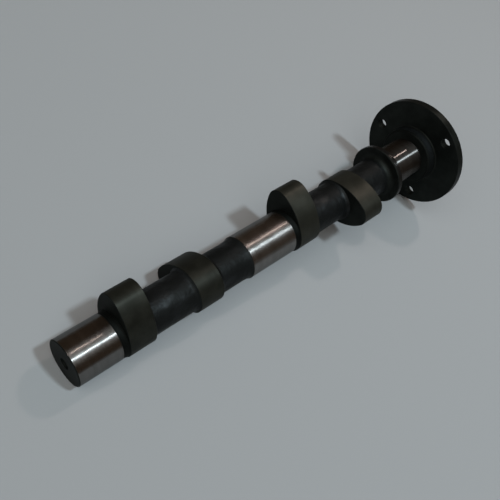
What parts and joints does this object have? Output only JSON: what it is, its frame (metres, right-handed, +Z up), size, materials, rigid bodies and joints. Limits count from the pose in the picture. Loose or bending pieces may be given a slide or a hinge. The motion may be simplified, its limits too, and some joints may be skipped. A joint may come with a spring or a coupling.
{
  "type": "camshaft",
  "caption": "Cast-iron camshaft for a flat pushrod engine: ground journals and cam lobes along a cast shaft, with a thrust collar and a drilled flange for the timing gear.",
  "frame": {"origin": "on the shaft's axis, in the plane of the flange face that the timing gear is bolted against", "axes": "+X along the shaft towards the timing gear, +Z up, +Y to complete a right-handed frame; with the shaft as modelled the first lobe's nose lies 69.4 degrees from +Y towards +Z"},
  "size_m": [0.27, 0.0698, 0.0698],
  "materials": {
    "phosphated_iron": "dark phosphate over cast and ground iron, with the bearing journals ground bright"
  },
  "bodies": {
    "root": {"camshaft": "phosphated_iron"}
  },
  "joints": []
}
